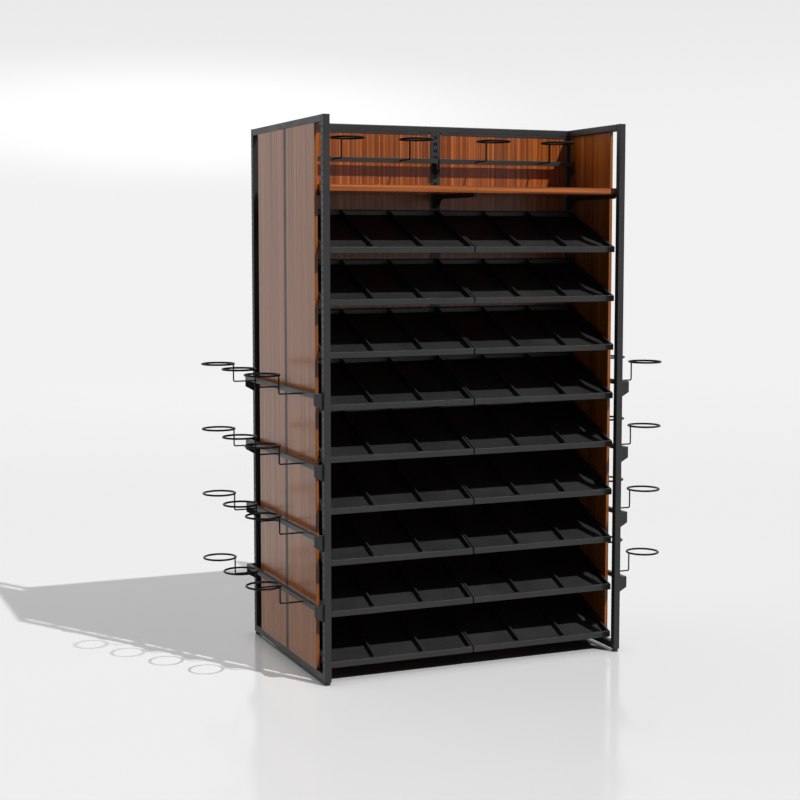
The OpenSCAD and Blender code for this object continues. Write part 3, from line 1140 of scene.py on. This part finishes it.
@dataclass
class Studio:
    """Camera, pale floor, lights and sky.

    The key light throws the stand's shadow. Two more lights fall on the floor alone: one from above,
    which keeps the shadow even, and one along the key light. The sky fills from the rear left.
    """

    eye: Triple = (-2.4503, -5.4187, 1.5610)
    yaw: float = 22.898
    pitch: float = 4.830
    lens: float = 69.5
    shift: Pair = (0.00648, -0.0339)
    sight: float = 200.0
    key_from: Triple = (0.327, -0.536, 0.778)
    key_strength: float = 4.2
    key_angle: float = 0.70
    fill_from: Triple = (-0.60, 0.77, -0.20)
    fill_low: float = 0.05
    fill_high: float = 1.90
    fill_span: Pair = (0.1, 0.85)
    front_mirror: float = 0.75
    front_span: Pair = (-0.5, 0.3)
    floor_tone: float = 0.325
    floor_bounce: float = 0.11
    floor_roughness: float = 0.12
    floor_specular: float = 0.2
    floor_fade: Pair = (4.0, 14.0)
    floor_light: float = 2.65
    floor_light_from: Triple = (0.0, 0.0, 1.0)
    floor_light_angle: float = 5.0
    floor_key: float = 1.85
    floor_size: float = 60.0
    floor_steps: int = 9
    backdrop_tone: float = 0.885
    backdrop_fall: float = 0.065
    backdrop_span: Pair = (0.06, 0.16)
    glow: float = 0.16
    glow_turn: float = 15.5
    glow_rise: float = 0.078
    glow_size: Triple = (0.26, 1.0, 0.05)
    glow_core: float = 0.8

    def build(self, racks: list[RingRack]) -> None:
        """Sets up everything that isn't part of the stand.

        Args:
            racks: the racks, which the light from above passes by.
        """
        self.add_camera()
        self.add_sun("key", self.key_from, self.key_strength, self.key_angle)
        self.add_sky()
        floor = self.add_floor()
        line, angle = self.floor_light_from, self.floor_light_angle
        above = self.add_sun("floor_light", line, self.floor_light, angle)
        self.shine_on(above, floor)
        self.pass_by(above, [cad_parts[rack.node] for rack in racks])
        extra = self.add_sun("floor_key", self.key_from, self.floor_key, self.key_angle)
        self.shine_on(extra, floor)

    def add_camera(self) -> None:
        """Stands the camera at the left front."""
        data = bpy.data.cameras.new("camera")
        data.lens = self.lens
        data.shift_x, data.shift_y = self.shift
        data.clip_end = self.sight
        camera = bpy.data.objects.new("camera", data)
        camera.location = self.eye
        camera.rotation_euler = (math.radians(90 - self.pitch), 0.0, math.radians(-self.yaw))
        bpy.context.scene.collection.objects.link(camera)
        bpy.context.scene.camera = camera

    def add_sun(self, name: str, line: Triple, strength: float, angle: float) -> bpy.types.Object:
        """Hangs a far light.

        Args:
            name: name of the light.
            line: direction from the stand to the light.
            strength: light on a face that looks along the line.
            angle: width of the light in degrees, as seen from the stand.
        Returns:
            The light.
        """
        data = bpy.data.lights.new(name, "SUN")
        data.energy = strength
        data.angle = math.radians(angle)
        sun = bpy.data.objects.new(name, data)
        x, y, z = line
        sun.rotation_euler = (math.atan2(math.hypot(x, y), z), 0.0, math.atan2(x, -y))
        bpy.context.scene.collection.objects.link(sun)
        return sun

    def shine_on(self, light: bpy.types.Object, thing: bpy.types.Object) -> None:
        """Lets a light fall on one thing alone, which all the others still shade.

        Args:
            light: the light.
            thing: what it falls on.
        """
        lit = bpy.data.collections.new(f"lit_by_{light.name}")
        lit.objects.link(thing)
        light.light_linking.receiver_collection = lit

    def pass_by(self, light: bpy.types.Object, things: list[bpy.types.Object]) -> None:
        """Keeps some things from shading what a light falls on.

        Args:
            light: the light.
            things: what throws no shadow in it.
        """
        spared = bpy.data.collections.new(f"passed_by_{light.name}")
        for thing in things:
            spared.objects.link(thing)
        for entry in spared.collection_objects:
            entry.light_linking.link_state = "EXCLUDE"
        light.light_linking.blocker_collection = spared

    def background_rays(self, bench: ShaderBench) -> Socket:
        """Finds the rays that see the backdrop: from the camera, mirrored or through glass.

        Args:
            bench: bench of the world or of a material.
        Returns:
            1 for such a ray, and otherwise 0.
        """
        path = bench.add("ShaderNodeLightPath").outputs
        seen = bench.sum("MAXIMUM", path["Is Camera Ray"], path["Is Glossy Ray"])
        return bench.sum("MAXIMUM", seen, path["Is Transmission Ray"])

    def add_sky(self) -> None:
        """Fills from the rear left, and shows a pale backdrop with a soft glow at the upper left."""
        world = bpy.data.worlds.new("studio")
        bpy.context.scene.world = world
        world.use_nodes = True
        world.node_tree.nodes.clear()
        bench = ShaderBench(world.node_tree)
        way = bench.add("ShaderNodeTexCoord").outputs["Generated"]
        rise = bench.add("ShaderNodeSeparateXYZ", {"Vector": way}).outputs["Z"]
        turn = math.radians(self.glow_turn)
        spot = bench.add("ShaderNodeMapping", {
            "Vector": way,
            "Location": (math.sin(turn), math.cos(turn), self.glow_rise),
            "Rotation": (0.0, 0.0, -turn),
            "Scale": self.glow_size,
        }, vector_type="TEXTURE")
        ball = bench.add("ShaderNodeTexGradient", {"Vector": spot.outputs[0]}, gradient_type="SPHERICAL")
        glow = bench.spread(ball.outputs["Fac"], 0.0, self.glow_core, 0.0, self.glow)
        high_tone = self.backdrop_tone - self.backdrop_fall
        plain = bench.spread(rise, *self.backdrop_span, self.backdrop_tone, high_tone)
        rearward = bench.dot(way, (0.0, 1.0, 0.0))
        dimmed = bench.spread(rearward, *self.front_span, 1 - self.front_mirror, 0.0)
        mirrored = bench.add("ShaderNodeLightPath").outputs["Is Glossy Ray"]
        strength = bench.sum("SUBTRACT", 1.0, bench.sum("MULTIPLY", dimmed, mirrored))
        shown = bench.add("ShaderNodeBackground", {
            "Color": bench.add("ShaderNodeCombineColor", {
                name: bench.sum("ADD", plain, glow) for name in ("Red", "Green", "Blue")
            }).outputs[0],
            "Strength": strength,
        })
        toward = bench.dot(way, self.fill_from)
        fill = bench.spread(toward, *self.fill_span, self.fill_low, self.fill_high)
        light = bench.add("ShaderNodeBackground", {"Color": (1.0, 1.0, 1.0), "Strength": fill})
        mix = bench.add("ShaderNodeMixShader", {"Fac": self.background_rays(bench)})
        bench.feed(mix.inputs[1], light.outputs[0])
        bench.feed(mix.inputs[2], shown.outputs[0])
        bench.add("ShaderNodeOutputWorld", {"Surface": mix.outputs[0]})

    def add_floor(self) -> bpy.types.Object:
        """Lays a pale floor that fades into the backdrop far from the stand.

        The floor is a grid of points at equal steps of X and Y at height zero.

        Returns:
            The floor.
        """
        steps = np.linspace(-self.floor_size, self.floor_size, self.floor_steps)
        x, y = np.meshgrid(steps, steps)
        points = np.stack([x, y, np.zeros_like(x)], axis=-1).reshape(-1, 3)
        index = np.arange(x.size).reshape(x.shape)
        quads = np.stack(
            [index[:-1, :-1], index[:-1, 1:], index[1:, 1:], index[1:, :-1]], axis=-1
        ).reshape(-1, 4)
        mesh = bpy.data.meshes.new("floor")
        mesh.from_pydata(points.tolist(), [], quads.tolist())
        mesh.materials.append(self.floor_material())
        floor = bpy.data.objects.new("floor", mesh)
        bpy.context.scene.collection.objects.link(floor)
        floor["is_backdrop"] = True
        return floor

    def floor_material(self) -> Material:
        """Builds the floor's finish: pale and faintly glossy near the stand, backdrop tone far away.

        Returns:
            The material.
        """
        material, bench = new_material("studio_floor")
        here = bench.add("ShaderNodeTexCoord").outputs["Object"]
        far = bench.add("ShaderNodeVectorMath", {"Vector": here}, operation="LENGTH").outputs["Value"]
        seen = self.background_rays(bench)
        fade = bench.sum("MULTIPLY", bench.spread(far, *self.floor_fade, 0.0, 1.0), seen)
        near = bench.add("ShaderNodeBsdfPrincipled", {
            "Base Color": bench.blend(seen, (self.floor_bounce,) * 3, (self.floor_tone,) * 3),
            "Roughness": self.floor_roughness,
            "Specular IOR Level": self.floor_specular,
        })
        away = bench.add("ShaderNodeEmission", {"Color": (self.backdrop_tone,) * 3})
        mix = bench.add("ShaderNodeMixShader", {"Fac": fade})
        bench.feed(mix.inputs[1], near.outputs[0])
        bench.feed(mix.inputs[2], away.outputs[0])
        close_material(bench, mix)
        return material


def main() -> None:
    """Builds the sub-assemblies in order, then the studio."""
    logging.basicConfig(level=logging.INFO, format="%(name)s: %(message)s")
    cad_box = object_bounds()
    depth = cad_box[1].y - cad_box[0].y
    feet = [LevellingFoot(face, side) for face in Face for side in Side]
    racks = RingRack.all_racks(depth)
    wires = racks[0].wires_from(), racks[-1].wires_from()
    finishes = Finishes.build(Effects.build(), feet[0].neck_top, *wires)
    for side in Side:
        side_frame = SideFrame(side)
        side_frame.build(finishes)
        side_frame.dress(finishes)
    spine = Spine()
    spine.build(finishes)
    spine.dress(finishes)
    Shelves().dress(finishes)
    for face in Face:
        TrayStack(face).dress(finishes)
    for rack in racks:
        rack.build(finishes)
        rack.dress(finishes)
    dress_node("foot_plugs", finishes.plug)
    for foot in feet:
        foot.build(finishes)
    bpy.context.scene.view_settings.view_transform = "Standard"
    Studio().build(racks)


if __name__ == "__main__":
    main()
